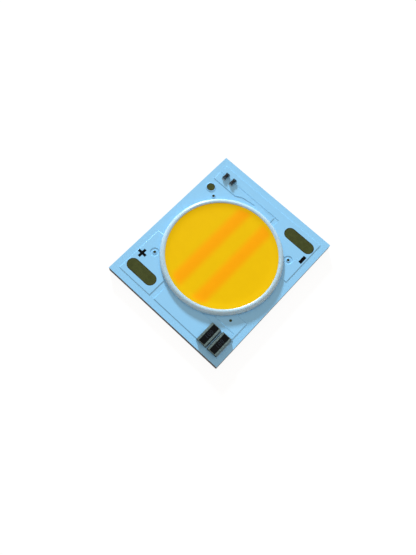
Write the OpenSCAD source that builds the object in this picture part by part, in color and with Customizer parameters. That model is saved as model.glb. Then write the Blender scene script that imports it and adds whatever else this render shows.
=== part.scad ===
// Chip-on-board LED module with a dim-to-warm emitter on an aluminium-core board.
// X runs along the board's short side, Y along its long side, and Z up from the
// mounting face, whose centre is the origin. All sizes are in millimetres.

/* [Board] */
// Width of the board, along X
board_w = 20; // [20:0.5:26]
// Length of the board, along Y
board_l = 24; // [24:0.5:30]
// Thickness of the aluminium base plate
plate_t = 1; // [0.8:0.1:2]
// Thickness of the insulation between the plate and the copper
insulation_t = 0.1; // [0.08:0.01:0.15]
// Thickness of the copper
copper_t = 0.07; // [0.05:0.005:0.09]
// Thickness of the solder mask, also on the side of the copper
mask_t = 0.03; // [0.02:0.005:0.04]

/* [Emitter] */
// Radius of the light-emitting surface
emitter_r = 7.82; // [6.5:0.01:7.9]
// Radius of the round bead that the dam is made of
bead_r = 0.5; // [0.42:0.01:0.56]
// Height of the bead's centre above the bare mask
bead_lift = 0.22; // [0.18:0.01:0.3]
// Height of the phosphor's surface above the mask on the copper
fill_h = 0.5; // [0.45:0.01:0.55]
// Distance of each warm stripe's centre line from the middle
stripe_x = 2.05; // [1.9:0.05:2.2]
// Width of a warm stripe at its foot
stripe_w = 2.1; // [1.5:0.05:2.2]
// Depth of cool phosphor over the crest of a warm stripe
stripe_cover = 0.08; // [0.03:0.01:0.15]

/* [Dies and wires] */
// Side of a square LED die
die_w = 0.66; // [0.4:0.01:0.8]
// Thickness of a die
die_t = 0.15; // [0.12:0.01:0.18]
// Thickness of the glue under a die
attach_t = 0.02; // [0.01:0.005:0.04]
// Distance between the dies of a column
die_pitch_y = 1.5; // [1.3:0.05:2]
// Distance between the columns of the outer fields
die_pitch_x = 1.1; // [1:0.05:1.2]
// Thickness of a bond wire
wire_d = 0.03; // [0.02:0.005:0.04]
// Width of the foot at each end of a bond wire
wire_foot_w = 0.08; // [0.05:0.01:0.1]
// Height of the foot on a die
wire_foot_h = 0.03; // [0.03:0.005:0.04]
// Rise of a bond wire's loop above its feet
wire_rise = 0.15; // [0.1:0.01:0.2]

/* [Circuit] */
// Distance from the board's edge to the copper
copper_margin = 1.05; // [0.9:0.05:1.2]
// Length of a solder pad
pad_l = 5; // [4:0.1:5.4]
// Width of a solder pad
pad_w = 1.8; // [1.4:0.1:2]
// Distance from the board's side to a solder pad's centre
pad_inset_x = 3.65; // [3.6:0.05:3.9]
// Distance from the board's end to a solder pad's centre
pad_inset_y = 2.65; // [2.4:0.05:2.7]
// Thickness of the gold plating on the pads and dots
plating_t = 0.02; // [0.01:0.005:0.02]
// Diameter of the round test point
test_d = 1.2; // [0.8:0.1:1.3]
// Diameter of an alignment dot
dot_d = 0.4; // [0.3:0.05:0.6]
// Radius of the gap in the copper around an isolated alignment dot
dot_gap_r = 0.65; // [0.5:0.05:0.8]
// Width of copper that the mask covers around a round land
land_rim = 0.08; // [0.05:0.01:0.15]
// Thickness of the printed polarity marks
ink_t = 0.015; // [0.01:0.005:0.03]
// Length of the plus mark's arms, end to end
plus_mark_l = 1.35; // [1:0.05:1.4]
// Width of the plus mark's arms
plus_mark_w = 0.38; // [0.25:0.01:0.45]
// Length of the minus mark
minus_mark_l = 1.24; // [1:0.02:1.4]
// Width of the minus mark
minus_mark_w = 0.48; // [0.3:0.01:0.5]

/* [Resistors] */
// Width of a resistor, across its two long terminals
res_w = 1.5; // [1.3:0.05:1.8]
// Length of a resistor, along its terminals
res_l = 3.1; // [2.5:0.05:3.2]
// Height of a resistor over its terminals
res_h = 0.56; // [0.4:0.01:0.7]
// Width of a terminal on the resistor's top and underside
res_terminal_w = 0.28; // [0.2:0.01:0.35]
// Gap between the two resistors
res_gap = 0.38; // [0.36:0.01:0.5]
// Distance from the board's side to the outer resistor
res_inset_x = 1.01; // [0.95:0.01:1.05]
// Distance from the board's end to the resistors
res_inset_y = 0.9; // [0.7:0.05:1]
// Thickness of the black glaze on a resistor
glaze_t = 0.04; // [0.03:0.005:0.06]

/* [Protection chips] */
// Width of a protection chip
chip_w = 0.52; // [0.4:0.01:0.6]
// Length of a protection chip, between its end faces
chip_l = 1; // [0.9:0.01:1.1]
// Height of a protection chip
chip_h = 0.36; // [0.3:0.01:0.5]
// Length of a terminal cap on a protection chip
chip_terminal_l = 0.25; // [0.2:0.01:0.28]
// Distance from the board's side to the outer chip's centre
chip_inset_x = 2.12; // [1.9:0.02:2.3]
// Distance between the two chips' centres
chip_pitch = 1.33; // [1.1:0.01:1.5]

/* [Soldering] */
// Thickness of the metal of a terminal
terminal_t = 0.03; // [0.02:0.005:0.04]
// Thickness of the solder under a terminal
solder_t = 0.05; // [0.045:0.005:0.07]
// Width of a solder fillet beside a terminal
fillet_w = 0.14; // [0.1:0.01:0.15]
// Height of a solder fillet on a resistor
fillet_h = 0.3; // [0.15:0.01:0.32]
// Height of a solder fillet on a protection chip
chip_fillet_h = 0.2; // [0.1:0.01:0.25]

/* [Hidden] */
$fn = 96;

// Levels above the mounting face
insulation_z = plate_t;
copper_z = insulation_z + insulation_t;
copper_top = copper_z + copper_t;
bare_mask_top = copper_z + mask_t;
mask_top = copper_top + mask_t;
fill_z = mask_top + fill_h;
die_z = plate_t + attach_t;
die_top = die_z + die_t;
wire_z = die_top + wire_foot_h;
part_z = copper_top + solder_t;

// The dam: its bead meets the phosphor's surface at the emitter's radius
bead_z = bare_mask_top + bead_lift;
ring_r = emitter_r + leg(bead_r, fill_z - bead_z);
dam_foot = leg(bead_r, bead_z - copper_z);

// The bonding ledge just inside the dam, and what lies under the dam
ledge_w = 0.35;
bond_in_r = ring_r - dam_foot - ledge_w;
bond_out_r = ring_r + 0.3;
window_r = bond_in_r - 0.05;
mask_window_r = ring_r - 0.15;
bond_land_r = bond_in_r + ledge_w / 2 - 0.02;

// Angles that bound each circuit's arc of copper under the dam
positive_arc = [200, 249];
link_arc = [253, 294.5];
return_arc = [297.5, 357];
negative_arc = [3, 76.5];
upper_trace_arc = [79.5, 196];

// Edges of the copper areas
side_x = board_w / 2 - copper_margin;
end_y = board_l / 2 - copper_margin;
area_reach = 3.4;
positive_right = -3.3;
neck_set = 0.06;
link_left = bond_out_r * cos(link_arc[0]) + neck_set;
link_neck = 0.8 * bond_out_r * cos(link_arc[1]);
negative_left = 2.25;
trace_right = bond_out_r * cos(upper_trace_arc[0]) - neck_set;
trace_neck = -1.8;
area_foot = 0.9 * bond_in_r;
arm_y = board_l / 2 - 2.22;
trace_top = board_l / 2 - 2.5;
trace_low = board_l / 2 - 3.75;
trace_bend = [[-5, 0], [-4, 0.55], [-1.8, 0.9]];

// Alignment dots lie on a circle just outside the dam
dot_circle_r = ring_r + 1.15;
dot_angle = 40.4;
dot_x = dot_circle_r * cos(dot_angle);
dot_y = dot_circle_r * sin(dot_angle);
lower_right_dot = [dot_x, -dot_y];
isolated_dots = [[-dot_x, -dot_y], [dot_x, dot_y], [-dot_x, dot_y]];
return_top = -dot_y + 1.15;
return_low = -dot_y - 1;
return_left = dot_x - 1.9;

// Places of the pads, the test point and the marks
plus_pad_at = [-board_w / 2 + pad_inset_x, -board_l / 2 + pad_inset_y];
minus_pad_at = [board_w / 2 - pad_inset_x, board_l / 2 - pad_inset_y];
test_at = [-board_w / 2 + 1.65, board_l / 2 - 5.15];
plus_mark_at = [-board_w / 2 + 1.76, -board_l / 2 + 4.67];
minus_mark_at = [board_w / 2 - 1.47, board_l / 2 - 4.52];

// Places of the resistors and their lands
outer_res_at = [board_w / 2 - res_inset_x - res_w / 2, -board_l / 2 + res_inset_y + res_l / 2];
inner_res_at = [outer_res_at[0] - res_w - res_gap, outer_res_at[1]];
resistors_at = [inner_res_at, outer_res_at];
land_cover = 0.04;
res_land_out = res_w / 2 + fillet_w;
res_land_in = res_w / 2 - res_terminal_w;
link_top = outer_res_at[1] + res_l / 2 + 0.08;

// Places of the protection chips and their lands
chip_y = board_l / 2 - 2.42;
outer_chip_at = [-board_w / 2 + chip_inset_x, chip_y];
inner_chip_at = [outer_chip_at[0] + chip_pitch, chip_y];
chips_at = [outer_chip_at, inner_chip_at];

// Columns of dies: three in each outer field, two in the middle and one in each stripe
die_clear = 0.1;
stripe_gap = 1.7;
middle_x = 0.5;
outer_columns = [for (k = [0:2]) stripe_x + stripe_gap + k * die_pitch_x];
cool_columns = [for (side = [-1, 1]) for (x = concat([middle_x], outer_columns)) side * x];
warm_columns = [-stripe_x, stripe_x];

// Radius of a circle that gives an arch of a certain span and rise
function arch_r(span, rise) = (span * span / 4 + rise * rise) / (2 * rise);
// Leg of a right triangle from its longest side and its other leg
function leg(long, other) = sqrt(long * long - other * other);
// Number of dies above a column's middle die, all clear of the insulation's window
function column_half(x) =
    floor((leg(window_r - die_clear, abs(x) + die_w / 2) - die_w / 2) / die_pitch_y);
// Height above the middle where a column's end wires land
function land_y(x) = leg(bond_land_r, x);

// ---- Shapes in the plane ----

module board_outline() {
    square([board_w, board_l], center = true);
}

// Rectangle from its low corner to its high corner, grown by g
module box_2d(low, high, g = 0) {
    translate([low[0] - g, low[1] - g])
        square([high[0] - low[0] + 2 * g, high[1] - low[1] + 2 * g]);
}

module stadium(length, width) {
    for (side = [-1, 1])
        translate([side * (length - width) / 2, 0]) circle(d = width);
    square([length - width, width], center = true);
}

// Band under the dam between two angles, grown by g
module arc_band(span, g) {
    far = 2 * bond_out_r;
    intersection() {
        difference() {
            circle(r = bond_out_r + g);
            circle(r = bond_in_r - g);
        }
        rotate(span[0]) translate([-far, -g]) square([2 * far, far]);
        rotate(span[1]) translate([-far, g - far]) square([2 * far, far]);
    }
}

module positive_outline(g = 0) {
    difference() {
        union() {
            box_2d([-side_x, -end_y], [positive_right, -area_reach], g);
            arc_band(positive_arc, g);
        }
        circle(r = bond_in_r - g);
        translate(isolated_dots[0]) circle(r = dot_gap_r - g);
    }
}

module negative_outline(g = 0) {
    difference() {
        union() {
            box_2d([negative_left, area_reach], [side_x, end_y], g);
            box_2d([-side_x, arm_y], [negative_left, end_y], g);
            arc_band(negative_arc, g);
        }
        circle(r = bond_in_r - g);
        translate(isolated_dots[1]) circle(r = dot_gap_r - g);
    }
}

module upper_trace_outline(g = 0) {
    difference() {
        union() {
            polygon([
                [-side_x - g, trace_low - g],
                [trace_bend[0][0] + g / 2, trace_low + trace_bend[0][1] - g],
                [trace_bend[1][0] + g / 2, trace_low + trace_bend[1][1] - g],
                [trace_bend[2][0] - g, trace_low + trace_bend[2][1] - g],
                [trace_neck - g, area_foot],
                [trace_right + g, area_foot],
                [trace_right + g, trace_top + g],
                [-side_x - g, trace_top + g]
            ]);
            arc_band(upper_trace_arc, g);
        }
        circle(r = bond_in_r - g);
    }
}

module link_outline(g = 0) {
    land_edge = inner_res_at[0] - res_land_in + land_cover;
    difference() {
        union() {
            box_2d([link_left, -end_y], [link_neck, -area_foot], g);
            box_2d([link_left, -end_y], [land_edge, link_top], g);
            arc_band(link_arc, g);
        }
        circle(r = bond_in_r - g);
    }
}

module bridge_outline(g = 0) {
    box_2d([inner_res_at[0] + res_land_in - land_cover, -end_y],
           [outer_res_at[0] - res_land_in + land_cover, link_top], g);
}

module return_outline(g = 0) {
    land_low = outer_res_at[1] - res_l / 2 - land_cover;
    difference() {
        union() {
            box_2d([return_left, return_low], [side_x, return_top], g);
            box_2d([outer_res_at[0] + res_land_in - land_cover, land_low], [side_x, return_top], g);
            box_2d([outer_res_at[0] + res_land_in - land_cover, land_low],
                   [outer_res_at[0] + res_land_out + land_cover, link_top], g);
            arc_band(return_arc, g);
        }
        circle(r = bond_in_r - g);
    }
}

module test_point_outline(g = 0) {
    translate(test_at) circle(d = test_d + 2 * (land_rim + g));
}

module isolated_dot_outline(g = 0) {
    for (at = isolated_dots)
        translate(at) circle(d = dot_d + 2 * (land_rim + g));
}

module copper_outline(g = 0) {
    positive_outline(g);
    negative_outline(g);
    upper_trace_outline(g);
    link_outline(g);
    bridge_outline(g);
    return_outline(g);
    test_point_outline(g);
    isolated_dot_outline(g);
}

module all_dots() {
    for (at = concat(isolated_dots, [lower_right_dot]))
        translate(at) circle(d = dot_d);
}

// Land of one resistor terminal, on the side that is given
module resistor_land(side) {
    mirror([side < 0 ? 1 : 0, 0])
        box_2d([res_land_in, -res_l / 2], [res_land_out, res_l / 2]);
}

// Land of one chip terminal, at the end that is given
module chip_land(end) {
    mirror([0, end < 0 ? 1 : 0])
        box_2d([-chip_w / 2, chip_l / 2 - chip_terminal_l], [chip_w / 2, chip_l / 2 + fillet_w]);
}

module mask_openings() {
    circle(r = mask_window_r);
    translate(plus_pad_at) stadium(pad_l, pad_w);
    translate(minus_pad_at) stadium(pad_l, pad_w);
    translate(test_at) circle(d = test_d);
    all_dots();
    for (at = resistors_at) for (side = [-1, 1]) translate(at) resistor_land(side);
    for (at = chips_at) for (end = [-1, 1]) translate(at) chip_land(end);
}

// ---- Layers ----

module layer(z, thickness) {
    translate([0, 0, z]) linear_extrude(height = thickness) children();
}

module insulation_shape() {
    layer(insulation_z, insulation_t) difference() {
        board_outline();
        circle(r = window_r);
    }
}

module copper_shape() {
    layer(copper_z, copper_t) copper_outline();
}

module mask_shape() {
    difference() {
        union() {
            layer(copper_z, mask_t) board_outline();
            layer(copper_z, copper_t + mask_t) copper_outline(mask_t);
        }
        layer(copper_z - mask_t, copper_t + mask_t) copper_outline();
        layer(copper_z - mask_t, copper_t + 3 * mask_t) mask_openings();
    }
}

module bead_section() {
    intersection() {
        translate([ring_r, bead_z]) circle(r = bead_r);
        translate([0, copper_z]) square([2 * ring_r, 2 * bead_z]);
    }
}

module bead_shape() {
    rotate_extrude() bead_section();
}

// The space inside the dam: down to the copper, and through the window to the plate
module cavity_shape() {
    difference() {
        rotate_extrude() difference() {
            union() {
                translate([0, plate_t]) square([window_r, fill_z - plate_t]);
                translate([0, copper_z]) square([ring_r, fill_z - copper_z]);
            }
            bead_section();
        }
        copper_shape();
    }
}

module stripe_shape() {
    stripe_h = fill_z - stripe_cover - plate_t;
    r = arch_r(stripe_w, stripe_h);
    for (x = warm_columns)
        translate([x, 0, plate_t]) rotate([90, 0, 0])
            linear_extrude(height = 2 * ring_r, center = true) intersection() {
                translate([0, stripe_h - r]) circle(r = r);
                translate([-stripe_w, 0]) square([2 * stripe_w, stripe_h + r]);
            }
}

module die_blocks(columns, z, thickness) {
    for (x = columns) for (k = [-column_half(x):column_half(x)])
        translate([x - die_w / 2, k * die_pitch_y - die_w / 2, z])
            cube([die_w, die_w, thickness]);
}

// A loop of wire in the plane, from one foot to the other, with its two feet's heights
module wire_profile(span, foot_0, foot_1) {
    r = arch_r(span, wire_rise);
    intersection() {
        translate([span / 2, wire_rise - r]) difference() {
            circle(r = r);
            circle(r = r - wire_d);
        }
        translate([-span, 0]) square([3 * span, 2 * wire_rise]);
    }
    translate([-wire_foot_w / 4, -foot_0]) square([wire_foot_w, foot_0 + wire_d / 2]);
    translate([span - wire_foot_w * 3 / 4, -foot_1]) square([wire_foot_w, foot_1 + wire_d / 2]);
}

module wire_hop(x, y_0, y_1, foot_0, foot_1) {
    translate([x, y_0, wire_z]) rotate([90, 0, 90])
        linear_extrude(height = wire_d, center = true)
            wire_profile(y_1 - y_0, foot_0, foot_1);
}

// Wires of whole columns: die to die, and from the end dies to the copper
module column_wires(columns) {
    reach = die_w / 4;
    ledge_foot = wire_z - copper_top;
    for (x = columns) {
        half = column_half(x);
        for (k = [-half:1:half - 1])
            wire_hop(x, k * die_pitch_y + reach, (k + 1) * die_pitch_y - reach,
                     wire_foot_h, wire_foot_h);
        wire_hop(x, half * die_pitch_y + reach, land_y(x), wire_foot_h, ledge_foot);
        wire_hop(x, -land_y(x), -half * die_pitch_y - reach, ledge_foot, wire_foot_h);
    }
}

// ---- Board ----

module base_plate() {
    color([0.16, 0.13, 0.11]) layer(0, plate_t) board_outline();
}

module insulation_layer() {
    color([0.80, 0.83, 0.80]) insulation_shape();
}

module copper_piece() {
    color([0.72, 0.45, 0.28]) layer(copper_z, copper_t) children();
}

module positive_copper() { copper_piece() positive_outline(); }
module negative_copper() { copper_piece() negative_outline(); }
module upper_trace_copper() { copper_piece() upper_trace_outline(); }
module link_copper() { copper_piece() link_outline(); }
module bridge_copper() { copper_piece() bridge_outline(); }
module return_copper() { copper_piece() return_outline(); }
module test_point_copper() { copper_piece() test_point_outline(); }
module alignment_dot_copper() { copper_piece() isolated_dot_outline(); }

module solder_mask() {
    color([0.57, 0.80, 0.95]) mask_shape();
}

module plating() {
    color([0.30, 0.31, 0.18]) layer(copper_top, plating_t) children();
}

module plus_pad() { plating() translate(plus_pad_at) stadium(pad_l, pad_w); }
module minus_pad() { plating() translate(minus_pad_at) stadium(pad_l, pad_w); }
module test_point() { plating() translate(test_at) circle(d = test_d); }
module alignment_dots() { plating() all_dots(); }

module ink() {
    color([0.03, 0.03, 0.03]) layer(mask_top, ink_t) children();
}

module plus_mark() {
    ink() translate(plus_mark_at) {
        square([plus_mark_l, plus_mark_w], center = true);
        square([plus_mark_w, plus_mark_l], center = true);
    }
}

module minus_mark() {
    ink() translate(minus_mark_at) square([minus_mark_w, minus_mark_l], center = true);
}

// ---- Emitter ----

module dam_ring() {
    color([0.86, 0.94, 0.97]) difference() {
        bead_shape();
        copper_shape();
        mask_shape();
    }
}

module cool_phosphor() {
    color([0.92, 0.75, 0.02]) difference() {
        cavity_shape();
        stripe_shape();
        die_blocks(cool_columns, plate_t, attach_t + die_t);
        column_wires(cool_columns);
    }
}

module warm_phosphor() {
    color([0.98, 0.66, 0.02]) difference() {
        intersection() {
            cavity_shape();
            stripe_shape();
        }
        die_blocks(warm_columns, plate_t, attach_t + die_t);
        column_wires(warm_columns);
    }
}

module cool_dies() { color([0.55, 0.75, 0.95]) die_blocks(cool_columns, die_z, die_t); }
module warm_dies() { color([0.55, 0.75, 0.95]) die_blocks(warm_columns, die_z, die_t); }

module die_attach() {
    color([0.9, 0.9, 0.88]) die_blocks(concat(cool_columns, warm_columns), plate_t, attach_t);
}

module cool_bond_wires() { color([0.9, 0.75, 0.35]) column_wires(cool_columns); }
module warm_bond_wires() { color([0.9, 0.75, 0.35]) column_wires(warm_columns); }

// ---- Resistors ----

// Ceramic body of a resistor, between its terminals' upper and lower metal
module resistor_block(grow = 0) {
    inner_w = res_w - 2 * terminal_t;
    translate([-inner_w / 2, -res_l / 2 - grow, part_z + terminal_t])
        cube([inner_w, res_l + 2 * grow, res_h - 2 * terminal_t]);
}

module resistor_body(at) {
    color([0.80, 0.82, 0.80]) translate(at) resistor_block();
}

module resistor_glaze(at) {
    glaze_w = res_w - 2 * res_terminal_w;
    color([0.04, 0.04, 0.05]) translate(at)
        translate([-glaze_w / 2, -res_l / 2, part_z + res_h - terminal_t])
            cube([glaze_w, res_l, glaze_t]);
}

module resistor_terminals(at) {
    color([0.55, 0.62, 0.60]) translate(at) difference() {
        for (side = [0, 1])
            mirror([side, 0, 0]) translate([res_w / 2 - res_terminal_w, -res_l / 2, part_z])
                cube([res_terminal_w, res_l, res_h]);
        resistor_block(terminal_t);
    }
}

// Section of a solder joint: the bed under a terminal and the hollow fillet beside it
module solder_section(bed_w, height) {
    r = arch_r(norm([fillet_w, height]), fillet_w / 4);
    mid = [fillet_w / 2, solder_t + height / 2];
    away = [height, fillet_w] / norm([fillet_w, height]);
    translate([-bed_w, 0]) square([bed_w + fillet_w, solder_t]);
    difference() {
        polygon([[0, 0], [fillet_w, 0], [fillet_w, solder_t], [0, solder_t + height]]);
        translate(mid + away * (r - fillet_w / 4)) circle(r = r);
    }
}

module resistor_solder(at) {
    color([0.45, 0.50, 0.48]) translate(at) for (side = [0, 1])
        mirror([side, 0, 0]) translate([res_w / 2, 0, copper_top]) rotate([90, 0, 0])
            linear_extrude(height = res_l, center = true)
                solder_section(res_terminal_w, fillet_h);
}

// ---- Protection chips ----

module chip_block() {
    translate([-chip_w / 2 + terminal_t, -chip_l / 2 + terminal_t, part_z + terminal_t])
        cube([chip_w - 2 * terminal_t, chip_l - 2 * terminal_t, chip_h - 2 * terminal_t]);
}

module chip_body(at) {
    color([0.05, 0.05, 0.06]) translate(at) chip_block();
}

module chip_terminals(at) {
    color([0.42, 0.48, 0.50]) translate(at) difference() {
        for (end = [0, 1])
            mirror([0, end, 0]) translate([-chip_w / 2, chip_l / 2 - chip_terminal_l, part_z])
                cube([chip_w, chip_terminal_l, chip_h]);
        chip_block();
    }
}

module chip_solder(at) {
    color([0.45, 0.50, 0.48]) translate(at) for (end = [90, -90])
        rotate(end) translate([chip_l / 2, 0, copper_top]) rotate([90, 0, 0])
            linear_extrude(height = chip_w, center = true)
                solder_section(chip_terminal_l, chip_fillet_h);
}

base_plate();
insulation_layer();
positive_copper();
negative_copper();
upper_trace_copper();
link_copper();
bridge_copper();
return_copper();
test_point_copper();
alignment_dot_copper();
solder_mask();
plus_pad();
minus_pad();
test_point();
alignment_dots();
plus_mark();
minus_mark();
dam_ring();
cool_phosphor();
warm_phosphor();
cool_dies();
warm_dies();
die_attach();
cool_bond_wires();
warm_bond_wires();
resistor_body(inner_res_at);  // inner_resistor_body
resistor_glaze(inner_res_at);  // inner_resistor_glaze
resistor_terminals(inner_res_at);  // inner_resistor_terminals
resistor_solder(inner_res_at);  // inner_resistor_solder
resistor_body(outer_res_at);  // outer_resistor_body
resistor_glaze(outer_res_at);  // outer_resistor_glaze
resistor_terminals(outer_res_at);  // outer_resistor_terminals
resistor_solder(outer_res_at);  // outer_resistor_solder
chip_body(outer_chip_at);  // outer_chip_body
chip_terminals(outer_chip_at);  // outer_chip_terminals
chip_solder(outer_chip_at);  // outer_chip_solder
chip_body(inner_chip_at);  // inner_chip_body
chip_terminals(inner_chip_at);  // inner_chip_terminals
chip_solder(inner_chip_at);  // inner_chip_solder
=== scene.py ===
"""Looks of a chip-on-board LED module, built around its packed construction.

Every size is in millimetres until it reaches a mesh or a material, which are in metres.
X runs along the board's short side, Y along its long side and Z up from the mounting face.
"""

import logging
import math
from dataclasses import dataclass
from enum import Enum

import bmesh
import bpy
from mathutils import Matrix, Vector


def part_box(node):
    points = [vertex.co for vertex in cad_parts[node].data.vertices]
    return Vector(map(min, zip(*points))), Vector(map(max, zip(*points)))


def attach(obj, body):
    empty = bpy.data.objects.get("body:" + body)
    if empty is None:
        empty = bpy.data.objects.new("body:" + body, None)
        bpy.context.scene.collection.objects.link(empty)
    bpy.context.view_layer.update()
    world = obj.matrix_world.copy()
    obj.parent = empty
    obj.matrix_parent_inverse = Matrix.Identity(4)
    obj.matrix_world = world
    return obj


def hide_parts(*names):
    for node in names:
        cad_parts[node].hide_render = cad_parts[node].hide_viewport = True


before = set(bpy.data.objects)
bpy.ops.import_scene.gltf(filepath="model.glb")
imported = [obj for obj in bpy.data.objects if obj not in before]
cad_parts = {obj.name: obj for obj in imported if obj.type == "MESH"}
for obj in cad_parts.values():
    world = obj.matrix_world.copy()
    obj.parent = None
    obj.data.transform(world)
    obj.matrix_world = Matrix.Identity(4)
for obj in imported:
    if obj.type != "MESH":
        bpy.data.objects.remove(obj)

MM = 0.001
ROOT = "root"
LOG = logging.getLogger("led_module")

# Corners of a CAD mesh that are this near, in millimetres, become one.
MERGE_GAP = 2e-4
# Faces of a CAD mesh that turn by less than this, in degrees, become one.
FLAT_ANGLE = 0.5

Colour = tuple[float, float, float]


class Edge(Enum):
    """How a piece's edges are broken: width in millimetres and number of segments."""

    CRISP = (0.006, 1)
    PRINTED = (0.012, 2)
    WORN = (0.035, 3)


class Pole(Enum):
    """A marked pole of the supply, by the name of its nodes."""

    PLUS = "plus"
    MINUS = "minus"


def linear(colour: Colour) -> tuple[float, float, float, float]:
    """Turn a display colour into the linear colour that a shader takes.

    Args:
        colour: Red, green and blue from 0 to 1, as seen on a display.

    Returns:
        The linear colour, with an alpha of 1.
    """
    toe, slope, offset, power = 0.04045, 12.92, 0.055, 2.4
    curve = (c / slope if c < toe else ((c + offset) / (1.0 + offset)) ** power for c in colour)
    return (*curve, 1.0)


# ---- Finishes ----


class Graph:
    """The node tree of one material, with short calls that add and join its nodes."""

    # Most of a noise pattern's values lie between these two.
    BUSY_LOW = 0.3
    BUSY_HIGH = 0.7

    # The places of a colour Mix node's factor, colours and result among its sockets.
    MIX_FACTOR = 0
    MIX_FIRST = 6
    MIX_SECOND = 7
    MIX_RESULT = 2

    def __init__(self, name: str) -> None:
        """Start a material that holds a Principled shader.

        Args:
            name: The material's name.
        """
        self.material = bpy.data.materials.new(name)
        self.material.use_nodes = True
        self.tree = self.material.node_tree
        self.tree.nodes.clear()
        self.shader = self.add("ShaderNodeBsdfPrincipled")
        output = self.add("ShaderNodeOutputMaterial")
        self.join(self.shader.outputs["BSDF"], output.inputs["Surface"])
        self.place = self.add("ShaderNodeTexCoord").outputs["Object"]

    def add(self, kind: str, **settings: object) -> bpy.types.Node:
        """Add a node.

        Args:
            kind: The node's type.
            settings: Properties of the node, by name.

        Returns:
            The new node.
        """
        node = self.tree.nodes.new(kind)
        for key, value in settings.items():
            setattr(node, key, value)
        return node

    def join(self, source: object, target: bpy.types.NodeSocket) -> None:
        """Feed an input from an output, or set it to a plain value.

        Args:
            source: An output socket, a number or a colour.
            target: The input socket.
        """
        if isinstance(source, bpy.types.NodeSocket):
            self.tree.links.new(source, target)
        else:
            target.default_value = source

    def math(self, operation: str, first: object, second: object = 0.0) -> bpy.types.NodeSocket:
        """Add a Math node.

        Args:
            operation: The node's operation.
            first: The first value or socket.
            second: The second value or socket.

        Returns:
            The node's output.
        """
        node = self.add("ShaderNodeMath", operation=operation)
        self.join(first, node.inputs[0])
        self.join(second, node.inputs[1])
        return node.outputs[0]

    def length(self, first: object, second: object) -> bpy.types.NodeSocket:
        """Work out the length of a flat vector.

        Args:
            first: The value or socket of its first part.
            second: The value or socket of its second part.

        Returns:
            The length.
        """
        squares = [self.math("MULTIPLY", part, part) for part in (first, second)]
        return self.math("SQRT", self.math("ADD", *squares))

    def axes(self) -> tuple[bpy.types.NodeSocket, ...]:
        """Split the shaded point's place.

        Returns:
            Its X, Y and Z, in metres.
        """
        node = self.add("ShaderNodeSeparateXYZ")
        self.join(self.place, node.inputs[0])
        return tuple(node.outputs)

    def fade(self, value: object, start: float, end: float) -> bpy.types.NodeSocket:
        """Ease from 0 to 1 as a value goes from start to end.

        Args:
            value: The value or socket, in metres.
            start: The millimetres at which the result is 0.
            end: The millimetres at which the result is 1.

        Returns:
            The eased value.
        """
        node = self.add("ShaderNodeMapRange", interpolation_type="SMOOTHSTEP")
        self.join(value, node.inputs["Value"])
        if start < end:
            node.inputs["From Min"].default_value = start * MM
            node.inputs["From Max"].default_value = end * MM
            return node.outputs["Result"]
        node.inputs["From Min"].default_value = end * MM
        node.inputs["From Max"].default_value = start * MM
        return self.math("SUBTRACT", 1.0, node.outputs["Result"])

    def noise(self, grain: float, detail: float = 3.0, stretch: Vector | None = None) -> bpy.types.NodeSocket:
        """Add a noise pattern.

        Args:
            grain: The size of its patches in millimetres.
            detail: How many finer layers it has.
            stretch: How many times longer the patches are along each axis.

        Returns:
            The pattern's value, from 0 to 1.
        """
        node = self.add("ShaderNodeTexNoise")
        node.inputs["Scale"].default_value = 1.0 / (grain * MM)
        node.inputs["Detail"].default_value = detail
        place = self.place
        if stretch:
            mapping = self.add("ShaderNodeMapping")
            mapping.inputs["Scale"].default_value = [1.0 / s for s in stretch]
            self.join(place, mapping.inputs["Vector"])
            place = mapping.outputs["Vector"]
        self.join(place, node.inputs["Vector"])
        return node.outputs["Fac"]

    def spread(self, value: object, low: float, high: float) -> bpy.types.NodeSocket:
        """Map the busy middle of a pattern onto a range.

        Args:
            value: The pattern.
            low: The result where the pattern is low.
            high: The result where the pattern is high.

        Returns:
            The mapped value.
        """
        node = self.add("ShaderNodeMapRange")
        self.join(value, node.inputs["Value"])
        node.inputs["From Min"].default_value = self.BUSY_LOW
        node.inputs["From Max"].default_value = self.BUSY_HIGH
        node.inputs["To Min"].default_value = low
        node.inputs["To Max"].default_value = high
        return node.outputs["Result"]

    def blend(self, factor: object, first: object, second: object) -> bpy.types.NodeSocket:
        """Mix two colours.

        Args:
            factor: 0 for the first colour and 1 for the second.
            first: The first display colour or socket.
            second: The second display colour or socket.

        Returns:
            The mixed colour.
        """
        node = self.add("ShaderNodeMix", data_type="RGBA")
        self.join(factor, node.inputs[self.MIX_FACTOR])
        for place, colour in ((self.MIX_FIRST, first), (self.MIX_SECOND, second)):
            self.join(linear(colour) if isinstance(colour, tuple) else colour, node.inputs[place])
        return node.outputs[self.MIX_RESULT]

    def bump(self, height: object, depth: float) -> None:
        """Raise the shader's surface by a pattern.

        Args:
            height: The pattern, from 0 to 1.
            depth: The millimetres from its lowest to its highest point.
        """
        node = self.add("ShaderNodeBump")
        node.inputs["Distance"].default_value = depth * MM
        self.join(height, node.inputs["Height"])
        self.join(node.outputs["Normal"], self.shader.inputs["Normal"])


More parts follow.
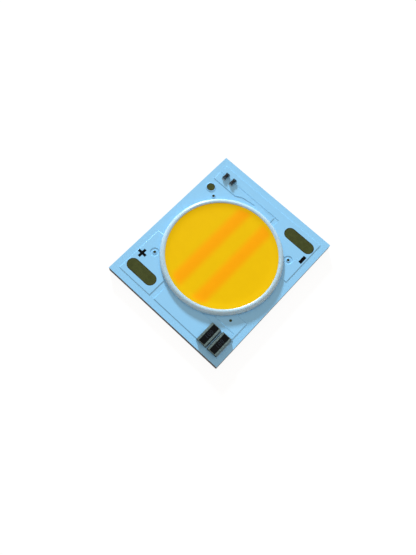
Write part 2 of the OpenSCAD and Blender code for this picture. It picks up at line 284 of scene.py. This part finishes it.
@dataclass(frozen=True)
class Finish:
    """A surface of two near colours in patches, with its gloss and its fine relief."""

    name: str
    colour: Colour
    patches: Colour
    grain: float = 0.3
    roughness: float = 0.4
    metallic: float = 0.0
    relief: float = 0.001
    relief_grain: float = 0.08
    stretch: tuple[float, float, float] = (1.0, 1.0, 1.0)
    specular: float = 0.5
    coat: float = 0.0
    gloss_drift: float = 0.15
    fine_detail: float = 4.0

    def tint(self, graph: Graph) -> bpy.types.NodeSocket:
        """Lay the patches over the base colour.

        Args:
            graph: The material's graph.

        Returns:
            The colour of the surface.
        """
        patches = graph.spread(graph.noise(self.grain, stretch=Vector(self.stretch)), 0.0, 1.0)
        return graph.blend(patches, self.colour, self.patches)

    def build(self) -> bpy.types.Material:
        """Make the material, once for each name.

        Returns:
            The material.
        """
        title = f"{self.name}_finish"
        if title in bpy.data.materials:
            return bpy.data.materials[title]
        graph = Graph(title)
        inputs = graph.shader.inputs
        graph.join(self.tint(graph), inputs["Base Color"])
        fine = graph.noise(self.relief_grain, self.fine_detail, Vector(self.stretch))
        drift = self.roughness * self.gloss_drift
        graph.join(graph.spread(fine, self.roughness - drift, self.roughness + drift), inputs["Roughness"])
        graph.bump(self.height(graph, fine), self.relief)
        inputs["Metallic"].default_value = self.metallic
        inputs["Specular IOR Level"].default_value = self.specular
        inputs["Coat Weight"].default_value = self.coat
        self.extras(graph)
        return graph.material

    def height(self, graph: Graph, fine: bpy.types.NodeSocket) -> bpy.types.NodeSocket:
        """Choose the pattern that raises the surface.

        Args:
            graph: The material's graph.
            fine: The finish's fine noise.

        Returns:
            The fine noise, unless a finish has a pattern of its own.
        """
        return fine

    def extras(self, graph: Graph) -> None:
        """Set nothing more, unless a finish has settings of its own.

        Args:
            graph: The material's graph.
        """


@dataclass(frozen=True)
class PhosphorFinish(Finish):
    """Yellow silicone over two warmer stripes, whose edges are softened by it."""

    stripe: Colour = (0.99, 0.65, 0.0)
    # Painted shade: the colour the surface darkens to near the dam, which the powder's grain also takes.
    rim: Colour = (0.90, 0.73, 0.0)
    stripe_x: float = 2.05
    core: float = 0.3
    fringe: float = 1.55
    wobble: float = 0.16
    painted_shade_start: float = 7.1
    painted_shade_end: float = 7.9
    sway_grain: float = 1.6
    powder_grain: float = 0.07
    powder_share: float = 0.22
    soft_detail: float = 2.0

    def tint(self, graph: Graph) -> bpy.types.NodeSocket:
        """Draw the stripes along Y, a rim darkened towards the dam as painted shade, and the powder's grain.

        Args:
            graph: The material's graph.

        Returns:
            The colour of the surface.
        """
        x, y, _ = graph.axes()
        sway = graph.math("MULTIPLY", graph.noise(self.sway_grain, self.soft_detail), self.wobble * MM)
        away = graph.math("SUBTRACT", graph.math("ABSOLUTE", x), (self.stripe_x - self.wobble / 2) * MM)
        away = graph.math("ABSOLUTE", graph.math("SUBTRACT", away, sway))
        base = graph.blend(graph.fade(away, self.fringe, self.core), super().tint(graph), self.stripe)
        # Painted shade: darken towards the dam's edge.
        edge = graph.fade(graph.length(x, y), self.painted_shade_start, self.painted_shade_end)
        base = graph.blend(edge, base, self.rim)
        powder = graph.spread(graph.noise(self.powder_grain, self.soft_detail), 0.0, self.powder_share)
        return graph.blend(powder, base, self.rim)


@dataclass(frozen=True)
class MaskFinish(Finish):
    """Sky-blue solder mask with a soft orange peel and a faint cloudiness."""

    cloud: Colour = (0.56, 0.795, 0.94)
    cloud_grain: float = 2.4
    cloud_share: float = 0.8
    fleck_share: float = 0.35
    peel: float = 0.22
    peel_detail: float = 2.0

    def tint(self, graph: Graph) -> bpy.types.NodeSocket:
        """Cloud the colour on a large scale and fleck it on a small one.

        Args:
            graph: The material's graph.

        Returns:
            The colour of the surface.
        """
        clouds = graph.spread(graph.noise(self.cloud_grain), 0.0, self.cloud_share)
        base = graph.blend(clouds, self.colour, self.cloud)
        flecks = graph.spread(graph.noise(self.grain, self.fine_detail), 0.0, self.fleck_share)
        return graph.blend(flecks, base, self.patches)

    def height(self, graph: Graph, fine: bpy.types.NodeSocket) -> bpy.types.NodeSocket:
        """Give the mask its orange peel.

        Args:
            graph: The material's graph.
            fine: The finish's fine noise, which the peel takes the place of.

        Returns:
            The peel's pattern.
        """
        return graph.noise(self.peel, self.peel_detail)


@dataclass(frozen=True)
class PadFinish(Finish):
    """Plated land with a browner rim, on an outline with two round ends."""

    rim: Colour = (0.20, 0.16, 0.11)
    centre: tuple[float, float] = (0.0, 0.0)
    length: float = 1.0
    width: float = 1.0
    rim_w: float = 0.16
    rim_grain: float = 0.5

    def tint(self, graph: Graph) -> bpy.types.NodeSocket:
        """Brown the plating towards its outline.

        Args:
            graph: The material's graph.

        Returns:
            The colour of the surface.
        """
        x, y, _ = graph.axes()
        along = graph.math("ABSOLUTE", graph.math("SUBTRACT", x, self.centre[0] * MM))
        along = graph.math("MAXIMUM", graph.math("SUBTRACT", along, (self.length - self.width) / 2 * MM), 0.0)
        across = graph.math("SUBTRACT", y, self.centre[1] * MM)
        ragged = graph.math("MULTIPLY", graph.noise(self.rim_grain), self.rim_w * MM)
        radius = graph.math("ADD", graph.length(along, across), ragged)
        edge, half = self.width / 2, self.rim_w / 2
        rim = graph.fade(radius, edge - half, edge + half)
        return graph.blend(rim, super().tint(graph), self.rim)


@dataclass(frozen=True)
class SiliconeFinish(Finish):
    """Milky silicone that lets a little light through."""

    depth: float = 0.4
    share: float = 0.6
    reach: tuple[float, float, float] = (0.7, 0.9, 1.0)

    def extras(self, graph: Graph) -> None:
        """Let light scatter below the surface.

        Args:
            graph: The material's graph.
        """
        inputs = graph.shader.inputs
        inputs["Subsurface Weight"].default_value = self.share
        inputs["Subsurface Radius"].default_value = self.reach
        inputs["Subsurface Scale"].default_value = self.depth * MM


# Painted shade: the plate's sides are near-black with brown patches, standing in for the shade on faces
# turned from the key light.
PAINTED_SHADE_SIDE = Finish(
    "painted_shade_side", (0.06, 0.045, 0.035), (0.20, 0.12, 0.07), grain=0.14, roughness=0.55, metallic=0.2,
    relief=0.012, relief_grain=0.1, stretch=(1.0, 1.0, 6.0), specular=0.15)
BARE_ALUMINIUM = Finish(
    "bare_aluminium", (0.78, 0.79, 0.80), (0.66, 0.67, 0.69), grain=0.12, roughness=0.34, metallic=1.0,
    relief=0.003, relief_grain=0.05, stretch=(1.0, 30.0, 1.0))
# Painted shade: the insulation is dark brown so that its side reads as part of the shaded board edge.
PAINTED_SHADE_LAMINATE = Finish(
    "painted_shade_laminate", (0.11, 0.08, 0.06), (0.22, 0.14, 0.08), grain=0.15, roughness=0.6, relief=0.006,
    specular=0.15)
COPPER = Finish(
    "copper_foil", (0.80, 0.50, 0.36), (0.70, 0.40, 0.27), grain=0.4, roughness=0.35, metallic=1.0)
MASK = MaskFinish(
    "solder_mask", (0.545, 0.785, 0.935), (0.515, 0.76, 0.925), grain=0.12, roughness=0.36, relief=0.004)
INK = Finish(
    "printed_ink", (0.012, 0.012, 0.014), (0.03, 0.03, 0.035), grain=0.1, roughness=0.6, relief=0.003,
    specular=0.03)
DOT_GOLD = Finish(
    "dot_gold", (0.24, 0.25, 0.14), (0.17, 0.17, 0.10), grain=0.2, roughness=0.3, metallic=1.0)
DAM = SiliconeFinish(
    "dam_silicone", (0.71, 0.82, 0.875), (0.69, 0.805, 0.865), grain=1.2, roughness=0.3, relief=0.003,
    relief_grain=0.4)
PHOSPHOR = PhosphorFinish(
    "phosphor_silicone", (0.94, 0.757, 0.0), (0.93, 0.745, 0.0), grain=1.1, roughness=0.5, relief=0.004,
    relief_grain=0.07, specular=0.06)
WARM_PHOSPHOR = Finish(
    "warm_phosphor", (0.98, 0.62, 0.02), (0.95, 0.56, 0.02), grain=0.4, roughness=0.5, specular=0.12)
DIE = Finish("die", (0.45, 0.62, 0.85), (0.62, 0.78, 0.95), grain=0.1, roughness=0.15, coat=0.5)
DIE_GLUE = Finish("die_glue", (0.88, 0.88, 0.85), (0.80, 0.80, 0.77), grain=0.1, roughness=0.4)
GOLD_WIRE = Finish(
    "gold_wire", (0.93, 0.76, 0.38), (0.86, 0.67, 0.30), grain=0.1, roughness=0.25, metallic=1.0)
# Painted shade: the ceramic is grey-green rather than white, so that the ends facing away from the key light
# come out dark.
SHADE_GREYED_CERAMIC = Finish(
    "ceramic", (0.40, 0.46, 0.45), (0.32, 0.38, 0.37), grain=0.12, roughness=0.5, relief=0.004, specular=0.2)
GLAZE = Finish(
    "black_glaze", (0.02, 0.024, 0.028), (0.05, 0.055, 0.062), grain=0.25, roughness=0.35, relief=0.006,
    relief_grain=0.2, specular=0.06)
MARKING = Finish(
    "value_marking", (0.20, 0.235, 0.28), (0.09, 0.11, 0.135), grain=0.12, roughness=0.55, specular=0.1)
TINNED = Finish(
    "tinned_terminal", (0.46, 0.53, 0.52), (0.28, 0.34, 0.34), grain=0.2, roughness=0.3, metallic=0.9,
    relief=0.006, relief_grain=0.12)
SOLDER = Finish(
    "solder", (0.60, 0.64, 0.65), (0.42, 0.46, 0.47), grain=0.2, roughness=0.28, metallic=1.0, relief=0.008,
    relief_grain=0.15)
CHIP_CAP = Finish(
    "chip_cap", (0.30, 0.35, 0.38), (0.13, 0.16, 0.18), grain=0.15, roughness=0.25, metallic=1.0, relief=0.01,
    relief_grain=0.2)
CHIP_BLACK = Finish(
    "chip_black", (0.04, 0.04, 0.05), (0.08, 0.08, 0.09), grain=0.08, roughness=0.45, relief=0.004,
    specular=0.15)


def plating(name: str, node: str) -> PadFinish:
    """Make the plating of a pad that lies along X, from its node's place and size.

    Args:
        name: The finish's name.
        node: The pad's CAD node.

    Returns:
        The finish.
    """
    low, high = (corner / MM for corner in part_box(node))
    middle, size = (low + high) / 2, high - low
    return PadFinish(
        name, (0.29, 0.315, 0.175), (0.25, 0.27, 0.15), grain=0.5, roughness=0.3, metallic=1.0, relief=0.003,
        relief_grain=0.15, centre=(middle.x, middle.y), length=size.x, width=size.y)


# ---- Mesh tools ----


def merged_copy(node: str) -> bmesh.types.BMesh:
    """Copy a CAD node's mesh, with its doubles merged and its flat faces joined.

    Args:
        node: The CAD node.

    Returns:
        The copied mesh.
    """
    bm = bmesh.new()
    bm.from_mesh(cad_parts[node].data)
    bmesh.ops.remove_doubles(bm, verts=bm.verts, dist=MERGE_GAP * MM)
    bmesh.ops.dissolve_limit(bm, angle_limit=math.radians(FLAT_ANGLE), verts=bm.verts, edges=bm.edges)
    return bm


def bevel(
    bm: bmesh.types.BMesh, edges: list[bmesh.types.BMEdge], width: float, segments: int, clamp: bool = True,
) -> None:
    """Cut edges back evenly on both sides.

    Args:
        bm: The mesh.
        edges: Its edges to cut.
        width: How far each side is cut back, in metres.
        segments: 1 for a flat chamfer and more for a round.
        clamp: Whether cuts stop where they would cross.
    """
    bmesh.ops.bevel(
        bm, geom=edges, offset=width, offset_type="OFFSET", segments=segments, profile=0.5,
        affect="EDGES", clamp_overlap=clamp, material=-1)


def spin_round(bm: bmesh.types.BMesh, steps: int) -> None:
    """Spin an open section once round the Z axis and close it on itself.

    Args:
        bm: The mesh, which holds the section alone.
        steps: The number of steps in a turn.
    """
    bmesh.ops.spin(
        bm, geom=[*bm.verts, *bm.edges], cent=(0.0, 0.0, 0.0), axis=(0.0, 0.0, 1.0), dvec=(0.0, 0.0, 0.0),
        angle=math.tau, steps=steps, use_merge=True)


def rise(edge: bmesh.types.BMEdge) -> float:
    """Measure how far an edge climbs.

    Args:
        edge: The edge.

    Returns:
        The difference in height between its ends, in metres.
    """
    return abs(edge.verts[0].co.z - edge.verts[1].co.z)


def soften(bm: bmesh.types.BMesh, edge: Edge, angle: float = 40.0) -> None:
    """Round off a mesh's sharp edges.

    Args:
        bm: The mesh.
        edge: How far the edges are rounded.
        angle: The least angle, in degrees, of an edge that is rounded.
    """
    width, segments = edge.value
    sharp = [e for e in bm.edges if len(e.link_faces) == 2 and e.calc_face_angle(0.0) > math.radians(angle)]
    bevel(bm, sharp, width * MM, segments)


def finish_piece(
    bm: bmesh.types.BMesh, name: str, finishes: list[Finish], nodes: tuple[str, ...] = (),
    smooth: float = 35.0,
) -> bpy.types.Object:
    """Turn a mesh into a piece of the module.

    Args:
        bm: The mesh, in metres and in place.
        name: The piece's name.
        finishes: Its finishes, in the order of its faces' material numbers.
        nodes: The CAD nodes that it stands for.
        smooth: The greatest angle, in degrees, that is shaded smooth.

    Returns:
        The new piece.
    """
    bmesh.ops.recalc_face_normals(bm, faces=bm.faces)
    mesh = bpy.data.meshes.new(name)
    bm.to_mesh(mesh)
    bm.free()
    for finish in finishes:
        mesh.materials.append(finish.build())
    mesh.shade_smooth()
    mesh.set_sharp_from_angle(angle=math.radians(smooth))
    piece = bpy.data.objects.new(name, mesh)
    bpy.context.scene.collection.objects.link(piece)
    even = piece.modifiers.new("even_shading", "WEIGHTED_NORMAL")
    even.keep_sharp = True
    even.weight = 100
    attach(piece, ROOT)
    if nodes:
        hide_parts(*nodes)
    LOG.info("built %s: %d faces", name, len(mesh.polygons))
    return piece


def dress(node: str, finish: Finish) -> None:
    """Give a CAD node its finish.

    Args:
        node: The CAD node.
        finish: The finish.
    """
    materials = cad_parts[node].data.materials
    materials.clear()
    materials.append(finish.build())
    LOG.info("dressed %s: %s", node, finish.name)


def build_parts(prefix: str, parts: list[tuple[str, Finish, str, Edge]]) -> None:
    """Build the softened parts of one component from its CAD nodes.

    Args:
        prefix: The component's name, which starts the names of its nodes.
        parts: Each part's name, finish, material slot and edge.
    """
    for part, finish, slot, edge in parts:
        node = f"{prefix}_{part}"
        bm = merged_copy(node)
        soften(bm, edge)
        finish_piece(bm, f"{node}_part", [finish], (node,))


# ---- The module's pieces ----


@dataclass
class Board:
    """The aluminium plate, its insulation, the copper and the solder mask."""

    corner_r: float = 0.05
    edge_r: float = 0.03
    round_segments: int = 3
    facing: float = 0.5
    climb_share: float = 0.48
    slack: float = 0.002

    def build_plate(self) -> None:
        """Build the plate, with its corners and its sheared edges broken and its sides painted near-black as
        shade.
        """
        low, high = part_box("base_plate")
        bm = bmesh.new()
        bmesh.ops.create_cube(bm, size=1.0)
        bmesh.ops.scale(bm, vec=high - low, verts=bm.verts)
        bmesh.ops.translate(bm, vec=(low + high) / 2, verts=bm.verts)
        upright = [edge for edge in bm.edges if rise(edge) > self.edge_r * MM]
        bevel(bm, upright, self.corner_r * MM, self.round_segments)
        level = [edge for edge in bm.edges if rise(edge) < self.edge_r * MM]
        bevel(bm, level, self.edge_r * MM, self.round_segments)
        bm.normal_update()
        for face in bm.faces:
            # The sides take the painted shade finish; the top and bottom take the bare metal.
            face.material_index = int(abs(face.normal.z) > self.facing)
        finish_piece(bm, "plate", [PAINTED_SHADE_SIDE, BARE_ALUMINIUM], ("base_plate",))

    def build_mask(self) -> None:
        """Build the mask, which climbs over the copper's edges in a slope."""
        low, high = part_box("solder_mask")
        foot_z = low.z + high.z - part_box("plus_pad")[0].z
        bm = merged_copy("solder_mask")
        climbs = self.climbs(bm, foot_z, high.z)
        bevel(bm, climbs, (high.z - foot_z) * self.climb_share, segments=1, clamp=False)
        finish_piece(bm, "mask", [MASK], ("solder_mask",))

    def climbs(self, bm: bmesh.types.BMesh, foot_z: float, top_z: float) -> list[bmesh.types.BMEdge]:
        """Find the edges at the foot and the top of the mask's steps over the copper.

        Args:
            bm: The mask's mesh.
            foot_z: The height of the mask between the copper areas, in metres.
            top_z: The height of the mask on the copper, in metres.

        Returns:
            The edges.
        """
        slack = self.slack * MM

        def is_step(face: bmesh.types.BMFace) -> bool:
            """Tell whether a face is a wall from the foot to the top.

            Args:
                face: The face.

            Returns:
                True for such a wall.
            """
            heights = [vert.co.z for vert in face.verts]
            return abs(min(heights) - foot_z) < slack and abs(max(heights) - top_z) < slack

        return [
            edge for edge in bm.edges
            if rise(edge) < slack and any(is_step(face) for face in edge.link_faces)
        ]

    def dress_layers(self) -> None:
        """Dress the insulation and the copper between the plate and the mask."""
        # The insulation's side carries painted shade.
        dress("insulation_layer", PAINTED_SHADE_LAMINATE)
        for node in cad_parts:
            if node.endswith("_copper"):
                dress(node, COPPER)

    def build(self) -> None:
        """Build and dress the board."""
        self.build_plate()
        self.build_mask()
        self.dress_layers()


@dataclass
class Terminal:
    """The solder pad and the printed mark of one pole."""

    pole: Pole

    def build(self) -> None:
        """Build the pad and the mark."""
        pad, mark = f"{self.pole.value}_pad", f"{self.pole.value}_mark"
        bm = merged_copy(pad)
        soften(bm, Edge.CRISP)
        finish_piece(bm, f"{pad}_plating", [plating(f"{pad}_gold", pad)], (pad,))
        bm = merged_copy(mark)
        soften(bm, Edge.CRISP)
        finish_piece(bm, f"{mark}_print", [INK], (mark,))


@dataclass
class Dots:
    """The round test point and the alignment dots."""

    def build(self) -> None:
        """Dress the plated rounds."""
        dress("test_point", plating("test_point_gold", "test_point"))
        dress("alignment_dots", DOT_GOLD)


@dataclass
class Dam:
    """The ring of white silicone, laid as a round bead."""

    bead_r: float = 0.5
    bead_sides: int = 40
    steps: int = 192
    waver: float = 0.0075
    slow_waves: int = 3
    slow_phase: float = 0.6
    fast_waves: int = 7
    fast_phase: float = 2.0
    fast_share: float = 0.6

    def build(self) -> None:
        """Spin the bead's section round, with the slight waver of a dispensed bead."""
        low, high = (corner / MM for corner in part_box("dam_ring"))
        ring_r, bead_z = high.x - self.bead_r, high.z - self.bead_r
        bm = bmesh.new()
        bmesh.ops.create_circle(bm, cap_ends=True, segments=self.bead_sides, radius=self.bead_r * MM)
        bmesh.ops.rotate(bm, matrix=Matrix.Rotation(math.pi / 2, 3, "X"), verts=bm.verts)
        bmesh.ops.translate(bm, vec=Vector((ring_r, 0.0, bead_z)) * MM, verts=bm.verts)
        bmesh.ops.bisect_plane(
            bm, geom=[*bm.verts, *bm.edges, *bm.faces], plane_co=Vector((0.0, 0.0, low.z)) * MM,
            plane_no=(0.0, 0.0, 1.0), clear_inner=True)
        bmesh.ops.delete(bm, geom=bm.faces, context="FACES_ONLY")
        spin_round(bm, self.steps)
        for vert in bm.verts:
            angle = math.atan2(vert.co.y, vert.co.x)
            slow = math.sin(self.slow_waves * angle + self.slow_phase)
            fast = self.fast_share * math.sin(self.fast_waves * angle + self.fast_phase)
            # The waver only ever leans inwards, so the bead stays within its CAD box.
            vert.co.xy *= 1.0 + self.waver * (slow + fast - 1.0 - self.fast_share) / ring_r
        finish_piece(bm, "dam_bead", [DAM], ("dam_ring",), smooth=80.0)


@dataclass
class Emitter:
    """The phosphor, and the dies, glue and wires that it holds."""

    rings: int = 26
    steps: int = 168
    climb: float = 0.07
    climb_w: float = 1.1
    sag: float = 0.02
    swell: float = 0.012
    stripe_x: float = PHOSPHOR.stripe_x
    stripe_half: float = 1.1
    edge_in: float = 0.22
    foot_in: float = 0.4
    skin: float = 0.01
    seam_gap: float = 0.001

    def build_surface(self) -> None:
        """Spin the phosphor's section, which climbs a little up the dam."""
        low, high = (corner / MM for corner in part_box("cool_phosphor"))
        dam_low, dam_high = (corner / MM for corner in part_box("dam_ring"))
        edge_r = dam_high.x - 2 * Dam.bead_r + self.edge_in
        foot_r = edge_r - self.foot_in
        top = [(edge_r * k / self.rings, high.z) for k in range(self.rings + 1)]
        under = [(edge_r, dam_low.z), (foot_r, dam_low.z), (foot_r, low.z), (0.0, low.z)]
        bm = bmesh.new()
        line = [bm.verts.new(Vector((r, 0.0, z)) * MM) for r, z in [*top, *under]]
        for first, second in zip(line, line[1:]):
            bm.edges.new((first, second))
        spin_round(bm, self.steps)
        bmesh.ops.remove_doubles(bm, verts=bm.verts, dist=self.seam_gap * MM)
        for vert in bm.verts:
            if vert.co.z > (high.z - self.skin) * MM:
                vert.co.z += self.lift(vert.co.x / MM, vert.co.y / MM, edge_r) * MM
        finish_piece(bm, "phosphor_fill", [PHOSPHOR], ("cool_phosphor",), smooth=60.0)

    def lift(self, x: float, y: float, edge_r: float) -> float:
        """Return how far the surface lies above its nominal height.

        Args:
            x: The point's X in millimetres.
            y: The point's Y in millimetres.
            edge_r: The radius at which the surface meets the dam.

        Returns:
            The height in millimetres.
        """
        radius = math.hypot(x, y)
        near = max(0.0, 1.0 - (edge_r - radius) / self.climb_w)
        across = min(1.0, abs(abs(x) - self.stripe_x) / self.stripe_half)
        crown = self.swell * (1.0 + math.cos(math.pi * across)) / 2
        return self.climb * near ** 2 + crown - self.sag * (1.0 - near)

    def dress_inside(self) -> None:
        """Dress what the phosphor hides."""
        dress("warm_phosphor", WARM_PHOSPHOR)
        dress("die_attach", DIE_GLUE)
        for tone in ("cool", "warm"):
            dress(f"{tone}_dies", DIE)
            dress(f"{tone}_bond_wires", GOLD_WIRE)

    def build(self) -> None:
        """Build the surface and dress the inside."""
        self.build_surface()
        self.dress_inside()


@dataclass
class Resistor:
    """A wide chip resistor with a terminal along each long side."""

    prefix: str
    value: str
    bare_end: float = 0.07
    digit_l: float = 0.30
    digit_w: float = 0.52
    stroke: float = 0.06
    pitch: float = 0.46
    print_t: float = 0.006

    def build(self) -> None:
        """Build the body, glaze, terminals, joints and value."""
        build_parts(self.prefix, [
            ("body", SHADE_GREYED_CERAMIC, "resistor_ceramic", Edge.PRINTED),
            ("terminals", TINNED, "terminal", Edge.WORN),
            ("solder", SOLDER, "solder", Edge.CRISP),
        ])
        self.build_glaze()
        self.build_value()

    def build_glaze(self) -> None:
        """Build the black coat, which stops short of the body's ends."""
        node = f"{self.prefix}_glaze"
        low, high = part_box(node)
        bm = merged_copy(node)
        length, middle = high.y - low.y, (low.y + high.y) / 2
        share = 1.0 - 2 * self.bare_end * MM / length
        shift = Matrix.Translation((0.0, -middle, 0.0))
        bmesh.ops.scale(bm, vec=(1.0, share, 1.0), space=shift, verts=bm.verts)
        soften(bm, Edge.PRINTED)
        finish_piece(bm, f"{node}_coat", [GLAZE], (node,))

    def build_value(self) -> None:
        """Print the plain number on the glaze, read with the long side upright."""
        low, high = (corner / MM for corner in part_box(f"{self.prefix}_glaze"))
        middle = (low + high) / 2
        bm = bmesh.new()
        for place, digit in enumerate(self.value):
            along = (place - (len(self.value) - 1) / 2) * self.pitch
            for x, y, width, length in self.strokes(digit):
                made = bmesh.ops.create_cube(bm, size=1.0)["verts"]
                bmesh.ops.scale(bm, vec=Vector((width, length, self.print_t)) * MM, verts=made)
                where = Vector((middle.x + x, middle.y + along + y, high.z + self.print_t / 2))
                bmesh.ops.translate(bm, vec=where * MM, verts=made)
        finish_piece(bm, f"{self.prefix}_value", [MARKING])

    def strokes(self, digit: str) -> list[tuple[float, float, float, float]]:
        """Return a digit's strokes, for a digit that lies on its side along Y.

        Args:
            digit: The digit, 0 or 1.

        Returns:
            The middle and the size of each stroke along X and Y, in millimetres.
        """
        upright = self.digit_w - self.stroke
        if digit == "1":
            return [(0.0, 0.0, self.digit_w, self.stroke)]
        level = self.digit_l - self.stroke
        ends = [(side * upright / 2, 0.0, self.stroke, self.digit_l) for side in (-1, 1)]
        sides = [(0.0, side * level / 2, self.digit_w, self.stroke) for side in (-1, 1)]
        return [*ends, *sides]


@dataclass
class ProtectionChip:
    """A small black chip with a metal cap at each end."""

    prefix: str

    def build(self) -> None:
        """Build the body, caps and joints."""
        build_parts(self.prefix, [
            ("body", CHIP_BLACK, "chip_body", Edge.PRINTED),
            ("terminals", CHIP_CAP, "terminal", Edge.WORN),
            ("solder", SOLDER, "solder", Edge.CRISP),
        ])


# ---- Studio ----


@dataclass
class Studio:
    """A pale floor, a low key light and an even fill from above."""

    floor_size: float = 900.0
    key_azimuth: float = 143.0
    key_elevation: float = 18.0
    key_strength: float = 5.1
    key_width: float = 7.0
    key_colour: Colour = (0.895, 0.957, 1.0)
    fill_low: float = 0.08
    fill_high: float = 0.88
    fill_colour: Colour = (1.0, 0.95, 0.91)
    floor_cells: int = 8
    floor_glow: float = 0.92
    floor_full: float = 1.03
    paper: Colour = (0.90, 0.90, 0.90)
    paper_patches: Colour = (0.91, 0.91, 0.905)
    paper_grain: float = 20.0

    def shown(self, tree: bpy.types.NodeTree) -> bpy.types.NodeSocket:
        """Pick out the rays that show the background, straight or in gloss or glass.

        Args:
            tree: The node tree to add to.

        Returns:
            1 for such a ray and 0 for any other.
        """
        path = tree.nodes.new("ShaderNodeLightPath")
        total = path.outputs["Is Camera Ray"]
        for key in ("Is Glossy Ray", "Is Transmission Ray"):
            node = tree.nodes.new("ShaderNodeMath")
            node.operation = "MAXIMUM"
            tree.links.new(total, node.inputs[0])
            tree.links.new(path.outputs[key], node.inputs[1])
            total = node.outputs[0]
        return total

    def build_world(self) -> None:
        """Light the module evenly, brighter from above, before a white background."""
        world = bpy.data.worlds.new("studio")
        bpy.context.scene.world = world
        world.use_nodes = True
        tree = world.node_tree
        tree.nodes.clear()
        up = tree.nodes.new("ShaderNodeSeparateXYZ")
        tree.links.new(tree.nodes.new("ShaderNodeTexCoord").outputs["Generated"], up.inputs[0])
        level = tree.nodes.new("ShaderNodeMapRange")
        level.inputs["To Min"].default_value = self.fill_low
        level.inputs["To Max"].default_value = self.fill_high
        tree.links.new(up.outputs["Z"], level.inputs["Value"])
        fill, white = (tree.nodes.new("ShaderNodeBackground") for _ in range(2))
        fill.inputs["Color"].default_value = linear(self.fill_colour)
        tree.links.new(level.outputs["Result"], fill.inputs["Strength"])
        white.inputs["Color"].default_value = (1.0, 1.0, 1.0, 1.0)
        mix, output = tree.nodes.new("ShaderNodeMixShader"), tree.nodes.new("ShaderNodeOutputWorld")
        tree.links.new(self.shown(tree), mix.inputs[0])
        tree.links.new(fill.outputs[0], mix.inputs[1])
        tree.links.new(white.outputs[0], mix.inputs[2])
        tree.links.new(mix.outputs[0], output.inputs["Surface"])

    def build_floor(self) -> None:
        """Lay the floor just under the module."""
        bm = bmesh.new()
        cells, half = self.floor_cells, self.floor_size / 2
        bmesh.ops.create_grid(bm, x_segments=cells, y_segments=cells, size=half * MM)
        mesh = bpy.data.meshes.new("floor")
        bm.to_mesh(mesh)
        bm.free()
        floor = bpy.data.objects.new("floor", mesh)
        bpy.context.scene.collection.objects.link(floor)
        mesh.materials.append(self.floor_paper())

    def floor_paper(self) -> bpy.types.Material:
        """Make paper that looks white where it is lit and keeps its shadows.

        Returns:
            The paper's material.
        """
        graph = Graph("floor_paper")
        tree = graph.tree
        plain, seen = (graph.add("ShaderNodeBsdfDiffuse") for _ in range(2))
        patches = graph.spread(graph.noise(self.paper_grain), 0.0, 1.0)
        graph.join(graph.blend(patches, self.paper, self.paper_patches), plain.inputs["Color"])
        lit = self.floor_full - self.floor_glow
        seen.inputs["Color"].default_value = (lit, lit, lit, 1.0)
        glow, both = graph.add("ShaderNodeEmission"), graph.add("ShaderNodeAddShader")
        glow.inputs["Strength"].default_value = self.floor_glow
        tree.links.new(glow.outputs[0], both.inputs[0])
        tree.links.new(seen.outputs[0], both.inputs[1])
        mix = graph.add("ShaderNodeMixShader")
        graph.join(self.shown(tree), mix.inputs[0])
        tree.links.new(plain.outputs[0], mix.inputs[1])
        tree.links.new(both.outputs[0], mix.inputs[2])
        output = next(node for node in tree.nodes if node.type == "OUTPUT_MATERIAL")
        tree.links.new(mix.outputs[0], output.inputs["Surface"])
        tree.nodes.remove(graph.shader)
        return graph.material

    def build_key(self) -> None:
        """Hang the key light low behind the module."""
        lamp = bpy.data.lights.new("key", "SUN")
        lamp.energy = self.key_strength
        lamp.angle = math.radians(self.key_width)
        lamp.color = linear(self.key_colour)[:3]
        key = bpy.data.objects.new("key", lamp)
        bpy.context.scene.collection.objects.link(key)
        azimuth, elevation = math.radians(self.key_azimuth), math.radians(self.key_elevation)
        flat = math.cos(elevation)
        towards = Vector((flat * math.cos(azimuth), flat * math.sin(azimuth), math.sin(elevation)))
        key.matrix_world = towards.to_track_quat("Z", "Y").to_matrix().to_4x4()

    def build(self) -> None:
        """Build the floor, the fill and the key light."""
        self.build_world()
        self.build_floor()
        self.build_key()
        bpy.context.scene.view_settings.view_transform = "Standard"


@dataclass
class Camera:
    """The camera, aimed at a point of the board's top from above one corner."""

    aim_x: float = 0.77
    aim_y: float = -3.66
    distance: float = 81.7
    azimuth: float = 31.98
    elevation: float = 70.54
    roll: float = 11.36
    lens: float = 38.63
    sensor: float = 36.0
    nearest: float = 1.0
    farthest: float = 10000.0

    def build(self) -> None:
        """Place the camera and make it the scene's own."""
        data = bpy.data.cameras.new("camera")
        data.lens, data.sensor_width = self.lens, self.sensor
        data.clip_start, data.clip_end = self.nearest * MM, self.farthest * MM
        camera = bpy.data.objects.new("camera", data)
        bpy.context.scene.collection.objects.link(camera)
        azimuth, elevation = math.radians(self.azimuth), math.radians(self.elevation)
        flat = math.cos(elevation)
        back = Vector((flat * math.sin(azimuth), -flat * math.cos(azimuth), math.sin(elevation)))
        aim = Vector((self.aim_x * MM, self.aim_y * MM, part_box("solder_mask")[1].z))
        turn = back.to_track_quat("Z", "Y").to_matrix().to_4x4()
        roll = Matrix.Rotation(math.radians(self.roll), 4, "Z")
        camera.matrix_world = Matrix.Translation(aim + back * self.distance * MM) @ turn @ roll
        bpy.context.scene.camera = camera


def main() -> None:
    """Build the module, its studio and its camera."""
    logging.basicConfig(level=logging.INFO, format="%(name)s: %(message)s")
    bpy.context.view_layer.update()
    pieces = [
        Board(), Terminal(Pole.PLUS), Terminal(Pole.MINUS), Dots(), Dam(), Emitter(),
        Resistor("inner_resistor", "100"), Resistor("outer_resistor", "100"),
        ProtectionChip("outer_chip"), ProtectionChip("inner_chip"),
    ]
    for piece in pieces:
        piece.build()
        LOG.info("finished %s", type(piece).__name__)
    Studio().build()
    Camera().build()


if __name__ == "__main__":
    main()
